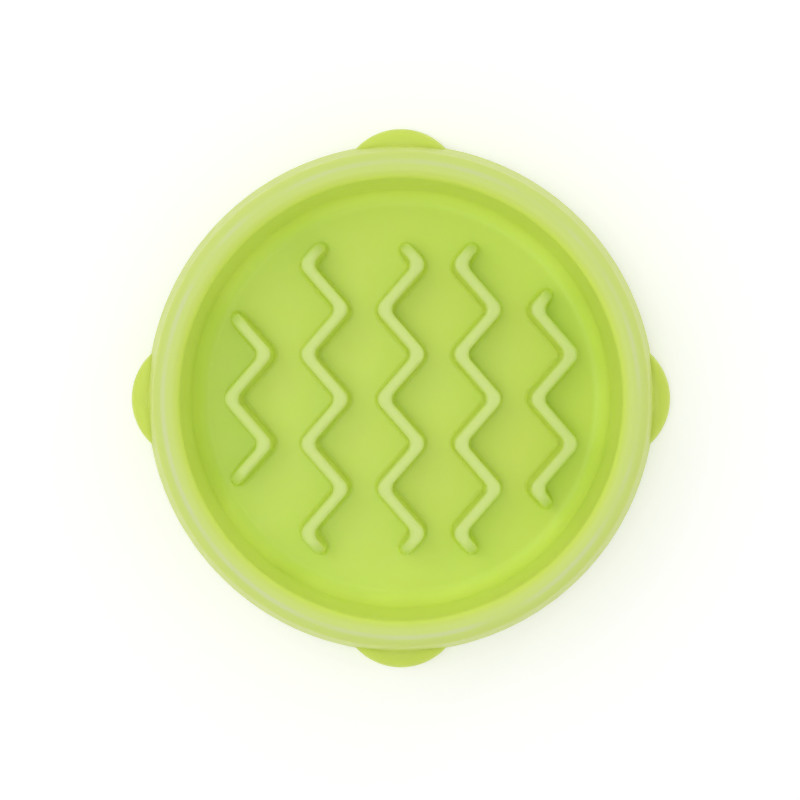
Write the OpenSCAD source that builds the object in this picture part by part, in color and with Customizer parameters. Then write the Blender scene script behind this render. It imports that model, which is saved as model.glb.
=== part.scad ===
// Slow feeder bowl: a round moulded dish with zig-zag ridges that make the animal eat slowly,
// standing on four rubber pads under the lobes of its skirt.
// The bowl stands on z = 0 with its centre on the z axis. The ridges run along y.

/* [Overall] */
// Height from the ground to the top of the rim
bowl_h = 36; // [32:0.5:44]
// Radius of the skirt at its lower edge
skirt_r = 83.3; // [82:0.1:90]
// Lean of the skirt from upright, in degrees
skirt_lean = 11.8; // [10:0.1:14]
// Wall thickness of the moulding
wall_t = 2.6; // [2:0.1:3]
// Chamfer of the lower outer edge of the skirt and lobes
skirt_edge = 0.8; // [0.4:0.1:0.9]

/* [Dish] */
// Height of the dish floor above the ground
floor_z = 6; // [5:0.5:7]
// Lean of the inner wall from upright, in degrees
dish_lean = 1.5; // [0.5:0.5:3]
// Radius of the corner between floor and inner wall
floor_fillet = 3.2; // [2:0.1:5]
// Radius of the rim on its inner side
rim_in_r = 2.4; // [1.5:0.1:3]
// Radius of the rim on its outer side
rim_out_r = 3; // [2:0.1:3.5]
// Width of the rim between its two round sides
rim_land = 3; // [2.4:0.1:4]
// Rise of the middle of the rim over its two sides
rim_crown = 0.25; // [0:0.05:0.5]
// Radius of the dimple under the floor where the plastic was fed in
gate_r = 5; // [3:0.5:8]
// Depth of that dimple
gate_depth = 0.5; // [0.3:0.1:0.8]

/* [Ridges] */
// Distance from one ridge to the next
ridge_pitch = 24.4; // [23:0.1:25]
// Distance along y from one corner of a ridge to the next
corner_step = 14.27; // [13:0.1:15]
// Sideways swing of a ridge to each side of its middle line
ridge_swing = 6.2; // [4:0.1:7]
// Height of the ridges above the dish floor
ridge_h = 13.5; // [9:0.5:18]
// Width of a ridge at its top
ridge_w = 3.5; // [2.4:0.1:4]
// Draft of the ridge sides, in degrees
ridge_draft = 2; // [1:0.5:3]
// Radius of the long edges at the top of a ridge
ridge_edge_r = 1.1; // [0.5:0.1:1.2]
// Radius of the fillet at the foot of a ridge
ridge_foot_r = 1.2; // [0.6:0.1:2]
// Radius of the corners of a ridge in plan
corner_r = 2; // [1:0.1:2.5]
// Length over which the end of a ridge curves down into the floor
run_out = 7.5; // [5:0.5:16]
// Length over which the end of a ridge is rounded in plan
nose_len = 3.4; // [2:0.1:5]

/* [Lobes and pads] */
// How far a lobe stands out of the skirt's lower edge
lobe_proud = 4.1; // [3:0.1:6]
// Radius of a lobe in plan
lobe_r = 20; // [18:0.1:23]
// Height of a lobe above the ground
lobe_h = 10; // [9.5:0.5:14]
// Radius of the upper edge of a lobe
lobe_edge_r = 3; // [1:0.5:4]
// Radius of a rubber pad
pad_r = 7; // [6:0.1:8]
// Thickness of a rubber pad
pad_t = 3; // [2.4:0.1:3.4]
// How far a pad stands below the moulding
pad_proud = 1.5; // [1:0.1:1.8]
// Radius of the plug on top of a pad
plug_r = 3; // [2:0.1:4]
// Length of the plug
plug_len = 3.6; // [2.5:0.1:4]

/* [Hidden] */
$fn = 96;

// Overrun of every cut past the face that it opens
cut_over = 1;
// Facets round the whole bowl
round_fn = 180;
// Facets to a quarter turn of the arcs in the revolved outlines
arc_steps = 6;

// Points of an arc about a centre, from one angle to another, in degrees
function arc(centre, r, from, to, steps = arc_steps) =
    [for (i = [0:steps]) let (a = from + (to - from) * i / steps) centre + r * [cos(a), sin(a)]];

// Outer face of the skirt
function skirt_at(z) = skirt_r - (z - pad_proud) * tan(skirt_lean);
// The outer rim arc touches the skirt, and the inner one lies across the rim's land from it
rim_side_z = bowl_h - rim_crown;
rim_out_z = rim_side_z - rim_out_r;
rim_out_x = skirt_at(rim_out_z) - rim_out_r / cos(skirt_lean);
rim_in_z = rim_side_z - rim_in_r;
rim_in_x = rim_out_x - rim_land;
// Inner face of the dish wall, which touches the inner rim arc
dish_r = rim_in_x - rim_in_r / cos(dish_lean);
function dish_at(z) = dish_r - (rim_in_z - z) * tan(dish_lean);
// The floor fillet touches the floor and the dish wall
fillet_z = floor_z + floor_fillet;
fillet_x = dish_at(fillet_z) - floor_fillet / cos(dish_lean);
under_fillet_r = floor_fillet + wall_t;
// Where the underside of the rim lies between the two walls
rim_under_z = rim_side_z - wall_t;
under_in_x = dish_at(rim_under_z) + wall_t / cos(dish_lean);
under_out_x = skirt_at(rim_under_z) - wall_t / cos(skirt_lean);
rim_mid_x = (rim_in_x + rim_out_x) / 2;
floor_under_z = floor_z - wall_t;

// Section of the round moulding, from the middle of the floor round to the middle of the underside
bowl_outline = concat(
    [[0, floor_z]],
    arc([fillet_x, fillet_z], floor_fillet, -90, -dish_lean),
    arc([rim_in_x, rim_in_z], rim_in_r, 180 - dish_lean, 90),
    [[rim_mid_x, bowl_h]],
    arc([rim_out_x, rim_out_z], rim_out_r, 90, skirt_lean),
    [[skirt_at(pad_proud + skirt_edge), pad_proud + skirt_edge]],
    [[skirt_r - skirt_edge, pad_proud]],
    [[skirt_r - wall_t / cos(skirt_lean), pad_proud]],
    [[under_out_x, rim_under_z]],
    [[under_in_x, rim_under_z]],
    arc([fillet_x, fillet_z], under_fillet_r, -dish_lean, -90),
    [[gate_r, floor_under_z]],
    [[gate_r - gate_depth, floor_under_z + gate_depth]],
    [[0, floor_under_z + gate_depth]]
);

module round_moulding() {
    rotate_extrude($fn = round_fn) polygon(bowl_outline);
}

// Ridges
// Each ridge is a wall swept along a zig-zag in plan. Its corners are mitred and rounded, its sides have
// draft, its top edges and foot are rounded, and its two ends are round in plan and curve down into the floor.
half_w = ridge_w / 2;
stretch_len = norm([2 * ridge_swing, corner_step]);
// Half the turn at a corner, as a tangent
half_turn = 2 * ridge_swing / corner_step;
// Distance from a corner at which its rounding starts
corner_cut = corner_r * half_turn;
// Facets round a corner and along a run-out
corner_steps = 2;
run_steps = 6;
// Depth of a ridge's root in the floor, depth of the end of its run-out, and the least step between two points
// of its section, as shares of the wall
root_share = 0.75;
end_share = 0.25;
step_share = 0.04;
// Width of the very end of a ridge, as a share of its full width
nose_end_share = 0.3;
root_depth = wall_t * root_share;
end_depth = wall_t * end_share;
section_step = wall_t * step_share;
foot_w = half_w + ridge_h * tan(ridge_draft) + ridge_foot_r;
// Distance from a corner at which a section square to the stretch clears the mitre
square_cut = corner_cut + foot_w * half_turn + section_step;

// The side that the middle corner of each ridge swings to, from the left
ridge_sides = [-1, 1, -1, 1, -1];
ridge_count = len(ridge_sides);
// The last corner of each ridge, counted from its middle one
ridge_last_corner = [1, 3, 3, 3, 2];
// The stretch past the last corner, as a share of a full one
ridge_end_shares = [1, 0.56, 0.56, 0.56, 0.52];

// Corner i of a ridge whose middle corner swings to side s
function corner(i, s) = [s * (i % 2 == 0 ? 1 : -1) * ridge_swing, i * corner_step];
function direction(i, s) = (corner(i + 1, s) - corner(i, s)) / stretch_len;
function left_of(d) = [-d[1], d[0]];

// A quarter of an ellipse: 0 at the end of the ridge, and 1 from a length before it
function ellipse_at(left, length) = let (t = 1 - min(1, left / length)) sqrt(1 - t * t);
// Height of the top, and width as a share of the full one, at a distance before the end of the ridge
function top_at(left) = (ridge_h + end_depth) * ellipse_at(left, run_out) - end_depth;
function width_share(left) = max(nose_end_share, ellipse_at(left, nose_len));

// A station holds a point of the middle line, the vector across it and the height of the top
function corner_stations(i, s, left) =
    let (a = left_of(direction(i - 1, s)),
         b = left_of(direction(i, s)),
         turn = s * (i % 2 == 0 ? -1 : 1),
         mitre = (a + b) / (1 + a * b))
    [for (k = [0:corner_steps])
        let (t = k / corner_steps,
             n = a * (1 - t) + b * t,
             along = (2 * t - 1) * sign(i) * corner_cut)
        [corner(i, s) - turn * corner_r * (mitre - n / norm(n)), mitre, top_at(left - along)]];

// Stations of the stretch past the last corner, towards plus y, closer together as the end nears
function end_stations(last, s, length) =
    let (d = direction(last, s),
         ramp = min(run_out, length - square_cut - section_step))
    [for (left = concat(length - square_cut, [for (k = [0:run_steps]) ramp * (1 - sin(90 * k / run_steps))]))
        [corner(last, s) + d * (length - left), left_of(d) * width_share(left), top_at(left)]];

// The same stretch towards minus y, in the opposite order
function mirrored(stations) =
    [for (k = [len(stations) - 1:-1:0])
        let (st = stations[k]) [[st[0][0], -st[0][1]], [st[1][0], -st[1][1]], st[2]]];

function ridge_stations(index) =
    let (s = ridge_sides[index],
         last = ridge_last_corner[index],
         length = stretch_len * ridge_end_shares[index],
         ends = end_stations(last, s, length))
    concat(
        mirrored(ends),
        [for (i = [-last:last]) each corner_stations(i, s, length + (last - abs(i)) * stretch_len)],
        ends
    );

// Facets of a rounded top edge
edge_steps = 2;
// Where a ridge is low, its top edge and its foot fillet take no more than these shares of its height
edge_limit_share = 0.35;
foot_limit_share = 0.3;
// Place of the point half way round the foot fillet, which is 1 minus the sine of 45 degrees
foot_mid_share = 0.3;
// Half of the section for a top at height h: distances from the middle and heights above the floor
function side_at(z) = half_w + (ridge_h - z) * tan(ridge_draft);
function half_section(h) =
    let (edge = min(ridge_edge_r, (h + root_depth) * edge_limit_share),
         foot = min(ridge_foot_r, (h + root_depth) * foot_limit_share),
         base = min(0, h - edge - foot - section_step))
    concat(
        [[side_at(base) + foot, -root_depth],
         [side_at(base) + foot, base - section_step],
         [side_at(base) + foot * foot_mid_share, base + foot * foot_mid_share],
         [side_at(base + foot), base + foot]],
        [for (k = [0:edge_steps])
            let (a = 90 * k / edge_steps)
            [side_at(h - edge) - edge * (1 - cos(a)), h - edge * (1 - sin(a))]]
    );

module ridge(index) {
    middle_x = (index - (ridge_count - 1) / 2) * ridge_pitch;
    rings = [for (st = ridge_stations(index))
        let (half = half_section(st[2]), last = len(half) - 1)
        [for (side = [-1, 1]) for (k = side < 0 ? [0:last] : [last:-1:0])
            let (p = st[0] + side * half[k][0] * st[1])
            [middle_x + p[0], p[1], floor_z + half[k][1]]]];
    size = len(rings[0]);
    end = (len(rings) - 1) * size;
    sides = [for (i = [0:size:end - size]) for (k = [0:size - 1])
        let (n = (k + 1) % size)
        each [[i + k, i + size + n, i + size + k], [i + k, i + n, i + size + n]]];
    // The two end faces are cut into level strips
    caps = [for (k = [0:size / 2 - 2])
        let (n = size - 1 - k)
        each [[k, n - 1, k + 1], [k, n, n - 1],
              [end + k, end + k + 1, end + n - 1], [end + k, end + n - 1, end + n]]];
    polyhedron(points = [for (r = rings) each r], faces = concat(sides, caps));
}

// Lobes, each with the socket of its pad
lobe_reach = skirt_r + lobe_proud;
lobe_x = lobe_reach - lobe_r;
// Clearance round a pad in its seat, round its plug, and over the plug
seat_gap = 0.2;
plug_gap = 0.1;
plug_end_gap = 0.3;
boss_wall = 1.6;
boss_r = pad_r + seat_gap + boss_wall;
// How far the boss runs into the lobe's outer wall, as a share of the boss's own wall
boss_in_share = 0.25;
pad_x = lobe_reach - wall_t + boss_wall * boss_in_share - boss_r;
socket_top_z = pad_t + plug_len + plug_end_gap;

lobe_outline = concat(
    [[0, pad_proud], [lobe_r - skirt_edge, pad_proud], [lobe_r, pad_proud + skirt_edge]],
    arc([lobe_r - lobe_edge_r, lobe_h - lobe_edge_r], lobe_edge_r, 0, 90),
    [[0, lobe_h]]
);

// The middle of the skirt wall, where lobes join it
module skirt_core(z_low, z_high) {
    translate([0, 0, z_low])
        cylinder(h = z_high - z_low,
                 r1 = skirt_at(z_low) - wall_t / 2,
                 r2 = skirt_at(z_high) - wall_t / 2, $fn = round_fn);
}

module lobe_solid() {
    difference() {
        translate([lobe_x, 0, 0]) rotate_extrude() polygon(lobe_outline);
        skirt_core(pad_proud - cut_over, lobe_h + cut_over);
    }
}

// Where the room under a lobe starts, measured out from the dish's inner face as a share of the wall
room_start_share = 1.5;

// Room under a lobe, open to the room under the bowl
module lobe_hollow() {
    difference() {
        translate([lobe_x, 0, -cut_over])
            cylinder(h = lobe_h - wall_t + cut_over, r = lobe_r - wall_t);
        translate([0, 0, -2 * cut_over])
            cylinder(h = lobe_h + 2 * cut_over, r = dish_r + room_start_share * wall_t, $fn = round_fn);
    }
}

// The room in the dish, out to the middle of its wall, which a boss stays out of
dish_core_outline = concat(
    [[0, floor_z - wall_t / 2]],
    arc([fillet_x, fillet_z], floor_fillet + wall_t / 2, -90, -dish_lean),
    [[dish_at(rim_in_z) + wall_t / 2, rim_in_z], [0, rim_in_z]]
);

module pad_boss() {
    difference() {
        translate([pad_x, 0, pad_proud]) cylinder(h = socket_top_z + boss_wall - pad_proud, r = boss_r);
        rotate_extrude($fn = round_fn) polygon(dish_core_outline);
    }
}

module pad_socket() {
    translate([pad_x, 0, pad_proud - cut_over])
        cylinder(h = pad_t - pad_proud + cut_over, r = pad_r + seat_gap);
    translate([pad_x, 0, 0]) cylinder(h = socket_top_z, r = plug_r + plug_gap);
}

module at_lobe(quarter) {
    rotate([0, 0, 90 * quarter]) children();
}

module bowl() {
    color("yellowgreen") {
        difference() {
            union() {
                difference() {
                    union() {
                        round_moulding();
                        for (q = [0:3]) at_lobe(q) lobe_solid();
                    }
                    for (q = [0:3]) at_lobe(q) lobe_hollow();
                }
                for (q = [0:3]) at_lobe(q) pad_boss();
                for (i = [0:ridge_count - 1]) ridge(i);
            }
            for (q = [0:3]) at_lobe(q) pad_socket();
        }
    }
}

// Rubber pad with a chamfered lower edge and a plug
pad_edge = 0.8;
plug_edge = 0.6;
pad_outline = [
    [0, 0],
    [pad_r - pad_edge, 0],
    [pad_r, pad_edge],
    [pad_r, pad_t],
    [plug_r, pad_t],
    [plug_r, pad_t + plug_len - plug_edge],
    [plug_r - plug_edge, pad_t + plug_len],
    [0, pad_t + plug_len]
];

module foot_pad(quarter) {
    color("dimgray") at_lobe(quarter) translate([pad_x, 0, 0]) rotate_extrude() polygon(pad_outline);
}

bowl();
foot_pad(0);  // foot_pad_right
foot_pad(1);  // foot_pad_back
foot_pad(2);  // foot_pad_left
foot_pad(3);  // foot_pad_front
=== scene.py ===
# Slow feeder bowl: one lime green moulding with zig-zag ridges in its dish, standing on four rubber pads.
# The bowl stands on z = 0 with its centre on the z axis, and the ridges run along y.
import math

import bpy
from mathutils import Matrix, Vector


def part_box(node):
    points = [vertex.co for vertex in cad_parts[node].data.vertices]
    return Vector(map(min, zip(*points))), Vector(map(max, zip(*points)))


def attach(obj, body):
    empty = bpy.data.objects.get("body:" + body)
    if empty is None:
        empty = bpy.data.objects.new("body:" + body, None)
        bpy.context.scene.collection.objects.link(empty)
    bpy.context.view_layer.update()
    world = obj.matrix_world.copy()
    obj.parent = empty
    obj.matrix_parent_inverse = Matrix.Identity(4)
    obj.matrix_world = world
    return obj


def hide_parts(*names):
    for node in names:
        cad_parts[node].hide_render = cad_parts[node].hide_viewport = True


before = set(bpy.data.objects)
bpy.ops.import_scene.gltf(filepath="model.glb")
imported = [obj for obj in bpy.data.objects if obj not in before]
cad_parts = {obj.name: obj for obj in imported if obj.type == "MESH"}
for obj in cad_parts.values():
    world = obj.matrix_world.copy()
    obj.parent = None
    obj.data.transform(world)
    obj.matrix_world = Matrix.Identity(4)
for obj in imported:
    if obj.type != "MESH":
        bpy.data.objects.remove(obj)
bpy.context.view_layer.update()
bpy.ops.object.select_all(action="DESELECT")


# Round moulding of the bowl
# The dish, its wall, the rim and the flared skirt are one thin wall of polypropylene, moulded in one shot
# through a gate under the middle. The section is drawn as a line of corners, rounded, and turned once.
mm = 0.001
touching = 0.001 * mm
bowl_low, bowl_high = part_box("bowl")
skirt_bottom = bowl_low.z
rim_top = bowl_high.z
wall = 2.6 * mm
skirt_radius = 83.3 * mm
skirt_lean = math.radians(11.8)
dish_radius = 68.3 * mm
dish_lean = math.radians(1.5)
floor_height = 6 * mm
rim_crown = 0.5 * mm
gate_radius = 5 * mm
gate_depth = 0.5 * mm
floor_round = 5 * mm
floor_under_round = 5.8 * mm
rim_inner_round = 2.9 * mm
rim_crown_round = 9 * mm
rim_outer_round = 3.4 * mm
rim_under_round = 0.8 * mm
skirt_edge_round = 0.8 * mm
skirt_inside_round = 0.6 * mm
gate_round = 0.3 * mm
round_steps = 8
turn_steps = 240


def skirt_at(height):
    """Radius of the skirt's outer face."""
    return skirt_radius - (height - skirt_bottom) * math.tan(skirt_lean)


def dish_at(height):
    """Radius of the inner face of the dish wall."""
    return dish_radius - (rim_top - height) * math.tan(dish_lean)


def choose(piece, level, wanted):
    """Selects, in edit mode, the vertices, edges or faces whose middle passes a test, and no others."""
    bpy.ops.object.mode_set(mode="EDIT")
    bpy.context.tool_settings.mesh_select_mode = [level == name for name in ("VERT", "EDGE", "FACE")]
    bpy.ops.mesh.select_all(action="DESELECT")
    bpy.ops.object.mode_set(mode="OBJECT")
    places = [vertex.co.copy() for vertex in piece.data.vertices]
    if level == "VERT":
        for vertex in piece.data.vertices:
            vertex.select = bool(wanted(vertex.co))
    elif level == "EDGE":
        for edge in piece.data.edges:
            first, second = (places[number] for number in edge.vertices)
            edge.select = bool(wanted((first + second) / 2))
    else:
        for face in piece.data.polygons:
            face.select = bool(wanted(face.center))
    bpy.ops.object.mode_set(mode="EDIT")


def round_corner(piece, before, corner, after, radius, segments=round_steps):
    """Rounds the corner of an outline where two of its straight stretches meet."""
    turn = (corner - before).angle(after - corner)
    choose(piece, "VERT", lambda place: (place - corner).length < touching)
    bpy.ops.mesh.bevel(
        offset=radius * math.tan(turn / 2), segments=segments, affect="VERTICES", clamp_overlap=False
    )


def at_origin(piece):
    """Puts a piece's place into its mesh."""
    bpy.ops.object.mode_set(mode="OBJECT")
    bpy.ops.object.select_all(action="DESELECT")
    piece.select_set(True)
    bpy.context.view_layer.objects.active = piece
    bpy.ops.object.transform_apply(location=True, rotation=True, scale=True)


rim_side = rim_top - rim_crown
rim_under = rim_side - wall
rim_middle = (dish_at(rim_side) + skirt_at(rim_side)) / 2
floor_under = floor_height - wall
gate_top = floor_under + gate_depth
across_skirt = wall / math.cos(skirt_lean)
across_dish = wall / math.cos(dish_lean)
section = [
    (0, floor_height, 0),
    (dish_at(floor_height), floor_height, floor_round),
    (dish_at(rim_side), rim_side, rim_inner_round),
    (rim_middle, rim_top, rim_crown_round),
    (skirt_at(rim_side), rim_side, rim_outer_round),
    (skirt_radius, skirt_bottom, skirt_edge_round),
    (skirt_radius - across_skirt, skirt_bottom, skirt_inside_round),
    (skirt_at(rim_under) - across_skirt, rim_under, rim_under_round),
    (dish_at(rim_under) + across_dish, rim_under, rim_under_round),
    (dish_at(floor_under) + across_dish, floor_under, floor_under_round),
    (gate_radius, floor_under, gate_round),
    (gate_radius - gate_depth, gate_top, gate_round),
    (0, gate_top, 0),
]
corners = [Vector((radius, 0, height)) for radius, height, rounding in section]

bpy.ops.mesh.primitive_plane_add(size=mm)
bowl = bpy.context.object
bowl.name = "bowl_moulding"
choose(bowl, "VERT", lambda place: True)
bpy.ops.mesh.merge(type="CENTER")
bpy.ops.transform.translate(value=corners[0])
for before, corner in zip(corners, corners[1:]):
    bpy.ops.mesh.extrude_region_move(TRANSFORM_OT_translate={"value": corner - before})
for number, (radius, height, rounding) in enumerate(section):
    if rounding:
        round_corner(bowl, *corners[number - 1:number + 2], rounding)
choose(bowl, "VERT", lambda place: True)
bpy.ops.mesh.spin(steps=turn_steps, angle=math.tau, center=(0, 0, 0), axis=(0, 0, 1))
bpy.ops.mesh.select_all(action="SELECT")
bpy.ops.mesh.remove_doubles(threshold=touching)
bpy.ops.mesh.normals_make_consistent(inside=False)
at_origin(bowl)


# Lobes
# Four low round lobes stand out of the skirt, hollow underneath, moulded in one with it. Each is a disc with
# a rounded upper edge, cut off inside the skirt wall, and its top sweeps up to the skirt in a small fillet.
near = 0.01 * mm
past = 1 * mm
lobe_radius = 20 * mm
lobe_height = 10 * mm
lobe_middle = bowl_high.x - lobe_radius
lobe_sides = 128
lobe_top_round = 3 * mm
lobe_top_steps = 8
lobe_foot_round = 0.8 * mm
lobe_foot_steps = 4
seam_fillet = 3.2 * mm
seam_turn = math.radians(78)
seam_steps = 7
room_from_dish = 1.5 * wall


def disc(name, middle, radius, low, high, sides):
    """A closed upright cylinder."""
    bpy.ops.mesh.primitive_cylinder_add(
        vertices=sides, radius=radius, depth=high - low, location=(middle, 0, (low + high) / 2)
    )
    piece = bpy.context.object
    piece.name = name
    at_origin(piece)
    return piece


def combine(piece, other, way):
    """Joins a second solid to a piece, or cuts it out, and removes that second solid."""
    bpy.ops.object.select_all(action="DESELECT")
    bpy.context.view_layer.objects.active = piece
    piece.select_set(True)
    step = piece.modifiers.new("combine", "BOOLEAN")
    step.operation = way
    step.solver = "EXACT"
    step.object = other
    bpy.ops.object.modifier_apply(modifier=step.name)
    bpy.data.objects.remove(other)


def on_four_sides(piece):
    """Makes one mesh of a piece and its copies at the other three quarter turns."""
    parts = [piece]
    for quarter in range(1, 4):
        copy = piece.copy()
        copy.data = piece.data.copy()
        bpy.context.scene.collection.objects.link(copy)
        copy.rotation_euler = (0, 0, quarter * math.pi / 2)
        at_origin(copy)
        parts.append(copy)
    bpy.ops.object.select_all(action="DESELECT")
    for part in parts:
        part.select_set(True)
    bpy.context.view_layer.objects.active = piece
    bpy.ops.object.join()
    return piece


lobe = disc("lobe", lobe_middle, lobe_radius, skirt_bottom, lobe_height, lobe_sides)
choose(lobe, "EDGE", lambda place: place.z > lobe_height - near)
bpy.ops.mesh.bevel(offset=lobe_top_round, segments=lobe_top_steps, affect="EDGES")
choose(lobe, "FACE", lambda place: place.z > lobe_height - near)
turns = [seam_turn * number / seam_steps for number in range(seam_steps + 1)]
for before, after in zip(turns, turns[1:]):
    inwards = seam_fillet * (math.sin(after) - math.sin(before))
    upwards = seam_fillet * (math.cos(before) - math.cos(after))
    bpy.ops.mesh.inset(thickness=inwards, depth=upwards)
choose(lobe, "EDGE", lambda place: place.z < skirt_bottom + near)
bpy.ops.mesh.bevel(offset=lobe_foot_round, segments=lobe_foot_steps, affect="EDGES")
bpy.ops.object.mode_set(mode="OBJECT")
core_low = skirt_bottom - past
core_high = lobe_height + seam_fillet + past
bpy.ops.mesh.primitive_cone_add(
    vertices=turn_steps,
    radius1=skirt_at(core_low) - wall / 2,
    radius2=skirt_at(core_high) - wall / 2,
    depth=core_high - core_low,
    location=(0, 0, (core_low + core_high) / 2),
)
core = bpy.context.object
at_origin(core)
combine(lobe, core, "DIFFERENCE")
combine(bowl, on_four_sides(lobe), "UNION")

room = disc("room", lobe_middle, lobe_radius - wall, -past, lobe_height - wall, lobe_sides)
dish_side = disc("dish_side", 0, dish_radius + room_from_dish, -2 * past, lobe_height, turn_steps)
combine(room, dish_side, "DIFFERENCE")
combine(bowl, on_four_sides(room), "DIFFERENCE")


# Pad sockets
# Under each lobe stands a round boss with a recess for the pad and a bore for its plug, moulded in one with
# the bowl. It ends inside the thickness of the dish, so nothing of it comes through to the inside.
pad_low, pad_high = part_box("foot_pad_right")
pad_middle = (pad_low.x + pad_high.x) / 2
pad_radius = (pad_high.x - pad_low.x) / 2
pad_thickness = 3 * mm
plug_radius = 3 * mm
plug_gap = 0.1 * mm
plug_room = 0.3 * mm
seat_gap = 0.2 * mm
boss_wall = 1.6 * mm
boss_radius = pad_radius + seat_gap + boss_wall
boss_sides = 96
bore_sides = 64
socket_top = pad_high.z + plug_room
inside_dish = floor_height - wall / 2
inside_round = 4.5 * mm

boss = disc("boss", pad_middle, boss_radius, skirt_bottom, socket_top + boss_wall, boss_sides)
dish_room = disc("dish_room", 0, dish_at(floor_height) + wall / 2, inside_dish, rim_top, turn_steps)
choose(dish_room, "EDGE", lambda place: place.z < floor_height)
bpy.ops.mesh.bevel(offset=inside_round, segments=round_steps, affect="EDGES")
bpy.ops.object.mode_set(mode="OBJECT")
combine(boss, dish_room, "DIFFERENCE")
combine(bowl, on_four_sides(boss), "UNION")
recess = disc("recess", pad_middle, pad_radius + seat_gap, -past, pad_thickness, boss_sides)
bore = disc("bore", pad_middle, plug_radius + plug_gap, 0, socket_top, bore_sides)
combine(recess, bore, "UNION")
combine(bowl, on_four_sides(recess), "DIFFERENCE")


# Ridges
# Five upright zig-zag ridges on the dish floor slow the animal down. They are moulded with the dish, so they
# have draft, a fillet at the foot, rounded upper edges, and ends that narrow and run down into the floor.
ridge_pitch = 24.4 * mm
corner_step = 14.27 * mm
ridge_swing = 6.2 * mm
ridge_height = 13.5 * mm
ridge_half = 1.75 * mm
ridge_draft = math.radians(2)
edge_round = 1.5 * mm
foot_round = 1.3 * mm
arc_steps = 6
outer_round = 5.2 * mm
inner_round = 1.4 * mm
inner_steps = 6
end_round = 3.3 * mm
root = 1 * mm
sunk = 0.03 * mm
ridge_base = floor_height - sunk
run_out = 7.5 * mm
run_steps = 12
tip_share = 0.45
slope = math.atan2(2 * ridge_swing, corner_step)
foot_half = ridge_half + ridge_height * math.tan(ridge_draft) + foot_round
strip_width = 2 * foot_half / math.cos(slope)
ridge_sides = [-1, 1, -1, 1, -1]
last_corners = [1, 3, 3, 3, 2]
end_shares = [1, 0.56, 0.56, 0.56, 0.52]
middle_ridge = (len(ridge_sides) - 1) / 2
crease = math.radians(32)


def ridge_line(side, last, share):
    """Middle line of a ridge from its front end to its back end, as a list of points."""
    line = [
        Vector((side * (-1) ** number * ridge_swing, number * corner_step, 0))
        for number in range(-last, last + 1)
    ]
    onward = Vector((-2 * line[-1].x, corner_step, 0)) * share
    back_end = line[-1] + onward
    front_end = Vector((back_end.x, -back_end.y, 0))
    return [front_end, *line, back_end]


def section_steps():
    """Steps of a ridge's section, each inwards and upwards: foot fillet, drafted side and rounded edge."""
    points = [(0, 0)]
    quarter = math.pi / 2 - ridge_draft
    for number in range(1, arc_steps + 1):
        angle = quarter * number / arc_steps
        points.append((foot_round * math.sin(angle), foot_round * (1 - math.cos(angle))))
    edge_start = ridge_height - edge_round * (1 - math.sin(ridge_draft))
    rise = edge_start - points[-1][1]
    points.append((points[-1][0] + rise * math.tan(ridge_draft), edge_start))
    side, top = points[-1]
    for number in range(1, arc_steps + 1):
        angle = ridge_draft + quarter * number / arc_steps
        inwards = edge_round * (math.cos(ridge_draft) - math.cos(angle))
        points.append((side + inwards, top + edge_round * (math.sin(angle) - math.sin(ridge_draft))))
    return [(after[0] - before[0], after[1] - before[1]) for before, after in zip(points, points[1:])]


def draw_plan(name, line, ends, place):
    """Draws a ridge's foot as one flat face: a strip along its line, cut off square at both ends."""
    (front_end, front_way), (back_end, back_way) = ends
    start = front_end + front_way * strip_width
    stop = back_end + back_way * strip_width
    bpy.ops.mesh.primitive_plane_add(size=strip_width)
    ridge = bpy.context.object
    ridge.name = name
    choose(ridge, "VERT", lambda point: point.y > 0)
    bpy.ops.mesh.delete(type="VERT")
    bpy.ops.mesh.select_all(action="SELECT")
    bpy.ops.transform.translate(value=start + place + Vector((0, strip_width / 2, 0)))
    for before, point in zip([start, *line[1:-1]], [*line[1:-1], stop]):
        bpy.ops.mesh.extrude_region_move(TRANSFORM_OT_translate={"value": point - before})
    for end, way in ends:
        bpy.ops.mesh.select_all(action="SELECT")
        bpy.ops.mesh.bisect(plane_co=end + place, plane_no=way, clear_outer=True)
    bpy.context.tool_settings.mesh_select_mode = (False, False, True)
    bpy.ops.mesh.select_all(action="SELECT")
    bpy.ops.mesh.dissolve_faces()
    return ridge


def round_plan(ridge, line, ends, place):
    """Rounds the bends of a ridge's foot, wide outside and tight inside, and the corners of its ends."""
    for number in range(1, len(line) - 1):
        to_last = line[number - 1] - line[number]
        to_next = line[number + 1] - line[number]
        out = 1 if line[number].x > 0 else -1
        for hand, radius, segments in ((out, outer_round, round_steps), (-out, inner_round, inner_steps)):
            corner = line[number] + place + Vector((hand * strip_width / 2, 0, 0))
            round_corner(ridge, corner + to_last, corner, corner + to_next, radius, segments)
    for end, way in ends:
        across = Vector((-way.y, way.x, 0)) * foot_half
        for hand in (-1, 1):
            corner = end + place + hand * across
            round_corner(ridge, corner - way, corner, corner - hand * across, end_round)


def raise_ridge(ridge):
    """Raises the foot through the floor, and then step by step to the ridge's top."""
    choose(ridge, "FACE", lambda point: True)
    bpy.ops.mesh.extrude_region_move(TRANSFORM_OT_translate={"value": (0, 0, root - sunk)})
    bpy.ops.mesh.select_all(action="SELECT")
    bpy.ops.mesh.normals_make_consistent(inside=False)
    choose(ridge, "FACE", lambda point: point.z > ridge_base - near)
    for inwards, upwards in section_steps():
        bpy.ops.mesh.inset(thickness=inwards, depth=upwards, use_even_offset=True)


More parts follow.
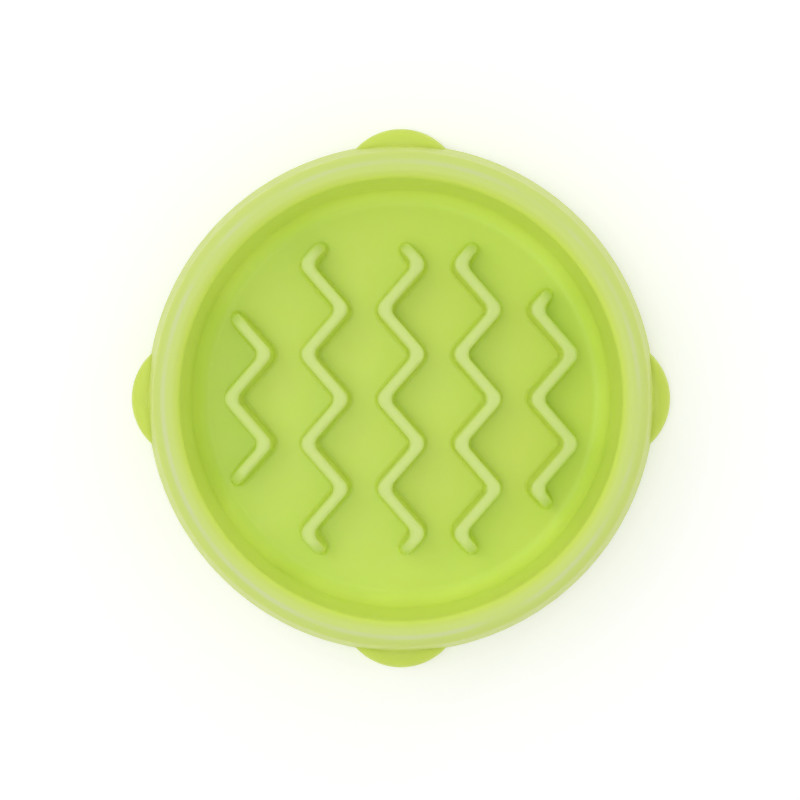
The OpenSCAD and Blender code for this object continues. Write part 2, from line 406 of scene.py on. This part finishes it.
def run_down(ridge, ends, place):
    """Cuts both ends into slices, and brings them down in a quarter round as they narrow."""
    for end, way in ends:
        for number in range(1, run_steps + 1):
            bpy.ops.mesh.select_all(action="SELECT")
            cut = end + place - way * run_out * number / run_steps
            bpy.ops.mesh.bisect(plane_co=cut, plane_no=way)
    bpy.ops.object.mode_set(mode="OBJECT")
    for end, way in ends:
        across = Vector((-way.y, way.x, 0))
        for vertex in ridge.data.vertices:
            from_end = vertex.co - end - place
            left = -from_end.dot(way) / run_out
            if left < 1:
                rise = math.sqrt(1 - (1 - max(left, 0)) ** 2)
                narrower = tip_share + (1 - tip_share) * rise
                vertex.co -= across * from_end.dot(across) * (1 - narrower)
                if vertex.co.z > ridge_base:
                    vertex.co.z = ridge_base + (vertex.co.z - ridge_base) * rise


for number, (side, last, share) in enumerate(zip(ridge_sides, last_corners, end_shares)):
    line = ridge_line(side, last, share)
    place = Vector(((number - middle_ridge) * ridge_pitch, 0, floor_height - root))
    front = line[0], (line[0] - line[1]).normalized()
    back = line[-1], (line[-1] - line[-2]).normalized()
    ridge = draw_plan(f"ridge_{number + 1}", line, (front, back), place)
    round_plan(ridge, line, (front, back), place)
    raise_ridge(ridge)
    run_down(ridge, (front, back), place)
    at_origin(ridge)
    combine(bowl, ridge, "UNION")

bpy.ops.object.shade_smooth_by_angle(angle=crease)
shading = bowl.modifiers.new("flat_faces_first", "WEIGHTED_NORMAL")
shading.keep_sharp = True
bpy.ops.object.modifier_apply(modifier=shading.name)


# Lime plastic
# Dyed polypropylene, slightly translucent, with a satin grain from the mould. Light and shade are painted on
# it: the dish wall lighter, the rim and ridge tops paler as sheen, a line on the rim's crest as a highlight,
# and the skirt deeper as shade.
lime_deep = (0.68, 0.82, 0.145, 1)
lime_warm = (0.69, 0.815, 0.135, 1)
lime_painted_wall_light = (0.78, 0.945, 0.17, 1)
lime_painted_skirt_shade = (0.62, 0.755, 0.10, 1)
lime_rim_painted_sheen = (0.65, 0.775, 0.215, 1)
lime_ridge_painted_sheen = (0.665, 0.79, 0.26, 1)
lime_crest_painted_highlight = (0.675, 0.755, 0.36, 1)
cloud_size = 35 * mm
crest_highlight_patch_size = 30 * mm
satin_size = 0.5 * mm
satin_depth = 0.012 * mm
wave_size = 14 * mm
wave_depth = 0.25 * mm
smear_size = 6 * mm
satin_roughness = (0.36, 0.44)
sheen_areas_rougher = 0.05
falling = (1.0, 0.0)


class Finish:
    """A material in the making: its shader, and the place on the piece that its patterns follow."""

    def __init__(self, name):
        self.material = bpy.data.materials.new(name)
        self.material.use_nodes = True
        self.nodes = self.material.node_tree.nodes
        self.link = self.material.node_tree.links.new
        self.shader = self.nodes["Principled BSDF"].inputs
        self.where = self.nodes.new("ShaderNodeTexCoord").outputs
        self.place = self.apart(self.where["Object"])

    def apart(self, vector):
        """Splits a vector into its three parts."""
        node = self.nodes.new("ShaderNodeSeparateXYZ")
        self.link(vector, node.inputs["Vector"])
        return node.outputs

    def maths(self, operation, first, second):
        """Works out a value from two others, each a number or a socket."""
        node = self.nodes.new("ShaderNodeMath")
        node.operation = operation
        for socket, value in zip(node.inputs, (first, second)):
            if isinstance(value, (int, float)):
                socket.default_value = value
            else:
                self.link(value, socket)
        return node.outputs["Value"]

    def fade(self, value, span, levels=(0.0, 1.0)):
        """Changes smoothly from one level to another while a value crosses a span."""
        node = self.nodes.new("ShaderNodeMapRange")
        node.interpolation_type = "SMOOTHSTEP"
        for name, number in zip(("From Min", "From Max", "To Min", "To Max"), (*span, *levels)):
            node.inputs[name].default_value = number
        self.link(value, node.inputs["Value"])
        return node.outputs["Result"]

    def grain(self, size, detail=2.0):
        """A noise whose patches are about a size across."""
        node = self.nodes.new("ShaderNodeTexNoise")
        node.inputs["Scale"].default_value = 1 / size
        node.inputs["Detail"].default_value = detail
        self.link(self.where["Object"], node.inputs["Vector"])
        return node.outputs["Fac"]

    def blend(self, amount, first, second):
        """A mix of two colours, each a colour or a socket."""
        node = self.nodes.new("ShaderNodeMix")
        node.data_type = "RGBA"
        self.link(amount, node.inputs["Factor"])
        for name, value in (("A", first), ("B", second)):
            socket = next(s for s in node.inputs if s.name == name and s.type == "RGBA")
            if isinstance(value, tuple):
                socket.default_value = value
            else:
                self.link(value, socket)
        return next(s for s in node.outputs if s.type == "RGBA")

    def bump(self, pattern, depth, strength, under=None):
        """Raises the surface along a pattern, over an earlier bump if there is one."""
        node = self.nodes.new("ShaderNodeBump")
        node.inputs["Distance"].default_value = depth
        node.inputs["Strength"].default_value = strength
        self.link(pattern, node.inputs["Height"])
        if under is not None:
            self.link(under, node.inputs["Normal"])
        return node.outputs["Normal"]

    def cover(self, piece):
        """Gives a piece this finish and no other."""
        piece.data.materials.clear()
        piece.data.materials.append(self.material)


lime = Finish("lime_plastic")
lime.shader["Specular IOR Level"].default_value = 0.3
lime.shader["Coat Weight"].default_value = 0.05
lime.shader["Coat Roughness"].default_value = 0.18
lime.shader["Subsurface Weight"].default_value = 0.6
lime.shader["Subsurface Radius"].default_value = (1, 1, 0.5)
lime.shader["Subsurface Scale"].default_value = 2 * mm

height = lime.place["Z"]
x_squared = lime.maths("POWER", lime.place["X"], 2)
y_squared = lime.maths("POWER", lime.place["Y"], 2)
from_middle = lime.maths("SQRT", lime.maths("ADD", x_squared, y_squared), 0)
facing = lime.apart(lime.where["Normal"])
# Painted sheen: the upward faces of the ridge tops are painted paler, as the overhead light would make them.
mostly_up = (0.1, 0.75)
up_the_ridges = (floor_height + 2 * mm, floor_height + 6 * mm)
ridges_to_wall = (dish_radius - 4 * mm, dish_radius - 3 * mm)
above_floor = lime.fade(height, up_the_ridges)
faces_up = lime.fade(facing["Z"], mostly_up)
in_dish = lime.fade(from_middle, ridges_to_wall, falling)
painted_ridge_sheen = lime.maths("MULTIPLY", lime.maths("MULTIPLY", above_floor, faces_up), in_dish)

# Painted sheen: the top of the rim is painted paler, as a highlight on it.
wall_to_rim = (dish_radius - 0.5 * mm, dish_radius + 3.5 * mm)
rim_to_skirt = (rim_middle + 2 * mm, rim_middle + 6 * mm)
up_to_rim = (rim_top - 5 * mm, rim_top - 2 * mm)
past_wall = lime.fade(from_middle, wall_to_rim)
before_skirt = lime.fade(from_middle, rim_to_skirt, falling)
high_up = lime.fade(height, up_to_rim)
painted_rim_sheen = lime.maths("MULTIPLY", lime.maths("MULTIPLY", past_wall, before_skirt), high_up)
painted_sheen_areas = lime.maths("MAXIMUM", painted_ridge_sheen, painted_rim_sheen)

# Painted light: the dish wall and its fillet are painted lighter, to cancel the shade that falls on them.
floor_to_wall = (dish_radius - 7 * mm, dish_radius - 1.5 * mm)
wall_top = (dish_radius, dish_radius + 2 * mm)
near_wall = lime.fade(from_middle, floor_to_wall)
before_rim = lime.fade(from_middle, wall_top, falling)
painted_wall_light = lime.maths("MULTIPLY", near_wall, before_rim)

# Painted shade: the skirt is painted deeper to damp the bright reflection it catches from the white table
# and low sky, and the lobes take a fifth of it.
skirt_to_lobe = (skirt_radius + 0.3 * mm, skirt_radius + 2 * mm)
lobe_shade_share = 0.2
past_rim = lime.fade(from_middle, rim_to_skirt)
spread = lime.maths("ADD", from_middle, lime.maths("MULTIPLY", height, math.tan(skirt_lean)))
off_lobes = lime.fade(spread, skirt_to_lobe, levels=(1.0, lobe_shade_share))
painted_skirt_shade = lime.maths("MULTIPLY", past_rim, off_lobes)

# Painted highlight: a thin, patchy, paler line along the rim's crest stands in for a reflection of the
# lights.
crest = rim_middle + 0.9 * mm
crest_inside = (crest - 1.1 * mm, crest - 0.3 * mm)
crest_outside = (crest + 0.3 * mm, crest + 1.1 * mm)
line_in = lime.fade(from_middle, crest_inside)
line_out = lime.fade(from_middle, crest_outside, falling)
on_crest = lime.maths("MULTIPLY", lime.maths("MULTIPLY", line_in, line_out), high_up)
patchy = lime.fade(lime.grain(crest_highlight_patch_size, detail=1.0), span=(0.35, 0.6), levels=(0.15, 0.9))
painted_crest_highlight = lime.maths("MULTIPLY", on_crest, patchy)

cloudy = lime.fade(lime.grain(cloud_size), span=(0.2, 0.8))
colour = lime.blend(cloudy, lime_deep, lime_warm)
# Over the cloudy base go the painted wall light, skirt shade, rim and ridge sheen, and crest highlight.
for amount, tone in (
    (painted_wall_light, lime_painted_wall_light),
    (painted_skirt_shade, lime_painted_skirt_shade),
    (painted_rim_sheen, lime_rim_painted_sheen),
    (painted_ridge_sheen, lime_ridge_painted_sheen),
    (painted_crest_highlight, lime_crest_painted_highlight),
):
    colour = lime.blend(amount, colour, tone)
lime.link(colour, lime.shader["Base Color"])
smears = lime.fade(lime.grain(smear_size, detail=4.0), span=(0.3, 0.7), levels=satin_roughness)
# The areas with painted sheen are also made a little rougher.
rougher = lime.maths("MULTIPLY", painted_sheen_areas, sheen_areas_rougher)
lime.link(lime.maths("ADD", smears, rougher), lime.shader["Roughness"])
satin = lime.bump(lime.grain(satin_size, detail=3.0), satin_depth, strength=0.5)
wavy = lime.bump(lime.grain(wave_size, detail=1.0), wave_depth, strength=0.25, under=satin)
lime.link(wavy, lime.shader["Normal"])
lime.cover(bowl)
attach(bowl, "root")
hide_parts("bowl")


# Foot pads
# Soft black rubber buttons with a plug on top, pressed into the sockets. The rubber is matt and finely
# pitted, and its underside is scuffed a little greyer where it rubs on the floor.
rubber_black = (0.022, 0.022, 0.023, 1)
rubber_dusty = (0.075, 0.073, 0.070, 1)
scuff_height = (0.1 * mm, 0.8 * mm)
scuff_size = 1.5 * mm
dust_size = 2 * mm
rubber_roughness = (0.68, 0.82)
pit_size = 0.35 * mm
pit_depth = 0.03 * mm

rubber = Finish("pad_rubber")
rubber.shader["Specular IOR Level"].default_value = 0.35
underside = rubber.fade(rubber.place["Z"], scuff_height, falling)
scuffs = rubber.fade(rubber.grain(scuff_size, detail=4.0), span=(0.4, 0.65))
scuffed = rubber.maths("MULTIPLY", underside, scuffs)
rubber.link(rubber.blend(scuffed, rubber_black, rubber_dusty), rubber.shader["Base Color"])
dusty = rubber.fade(rubber.grain(dust_size, detail=3.0), span=(0.3, 0.7), levels=rubber_roughness)
rubber.link(dusty, rubber.shader["Roughness"])
pitted = rubber.bump(rubber.grain(pit_size), pit_depth, strength=0.6)
rubber.link(pitted, rubber.shader["Normal"])
for name in ("foot_pad_right", "foot_pad_back", "foot_pad_left", "foot_pad_front"):
    rubber.cover(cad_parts[name])


# Studio
# A white table in a pale tent, with a round softbox high overhead, a larger one from the left and a small
# one, low at the upper right. The camera looks down on the bowl from almost straight above.
table_side = 4
bpy.ops.mesh.primitive_plane_add(size=table_side)
table = bpy.context.object
table.name = "table"
paper = bpy.data.materials.new("paper")
paper.use_nodes = True
paper_shader = paper.node_tree.nodes["Principled BSDF"].inputs
paper_shader["Base Color"].default_value = (0.92, 0.92, 0.92, 1)
paper_shader["Roughness"].default_value = 0.9
paper_shader["Emission Color"].default_value = (1, 1, 1, 1)
paper_shader["Emission Strength"].default_value = 0.2
table.data.materials.append(paper)

tent_levels = [(0.0, 0.2), (0.25, 0.65), (0.5, 0.8), (0.85, 0.66)]
tent = bpy.data.worlds.new("studio")
bpy.context.scene.world = tent
tent.use_nodes = True
sky = tent.node_tree
direction = sky.nodes.new("ShaderNodeTexCoord")
split = sky.nodes.new("ShaderNodeSeparateXYZ")
ramp = sky.nodes.new("ShaderNodeValToRGB")
stops = ramp.color_ramp.elements
for upwards, level in tent_levels[1:-1]:
    stops.new(upwards)
for stop, (upwards, level) in zip(stops, tent_levels):
    stop.position = upwards
    stop.color = (level, level, level, 1)
sky.links.new(direction.outputs["Generated"], split.inputs["Vector"])
sky.links.new(split.outputs["Z"], ramp.inputs["Fac"])
sky.links.new(ramp.outputs["Color"], sky.nodes["Background"].inputs["Color"])
sky.nodes["Background"].inputs["Strength"].default_value = 0.97


def softbox(name, place, size, power):
    """A round area light that faces the bowl."""
    lamp = bpy.data.lights.new(name, "AREA")
    lamp.shape = "DISK"
    lamp.size = size
    lamp.energy = power
    holder = bpy.data.objects.new(name, lamp)
    bpy.context.scene.collection.objects.link(holder)
    holder.location = place
    holder.rotation_euler = (-Vector(place)).to_track_quat("-Z", "Y").to_euler()


def toward(around, up, away):
    """A point at an angle around the bowl's middle, an angle up from the table, and a distance away."""
    around = math.radians(around)
    up = math.radians(up)
    level = away * math.cos(up)
    return (level * math.cos(around), level * math.sin(around), away * math.sin(up))


softbox("overhead_softbox", toward(around=215, up=83, away=1.2), size=0.5, power=1.85)
softbox("left_softbox", toward(around=152, up=60, away=1.2), size=0.9, power=1.9)
softbox("low_right_softbox", toward(around=50, up=22, away=1.0), size=0.2, power=0.5)

camera_height = 529.5 * mm
camera_back = 5.5 * mm
looks_at = Vector((-0.3, -0.5, 0)) * mm
camera_data = bpy.data.cameras.new("camera")
camera_data.lens = 72.4
camera_data.sensor_width = 36
camera = bpy.data.objects.new("camera", camera_data)
bpy.context.scene.collection.objects.link(camera)
camera.location = (looks_at.x, camera_back, camera_height)
camera.rotation_euler = (math.atan2(looks_at.y - camera_back, camera_height), 0, 0)
bpy.context.scene.camera = camera
bpy.context.scene.view_settings.view_transform = "Standard"
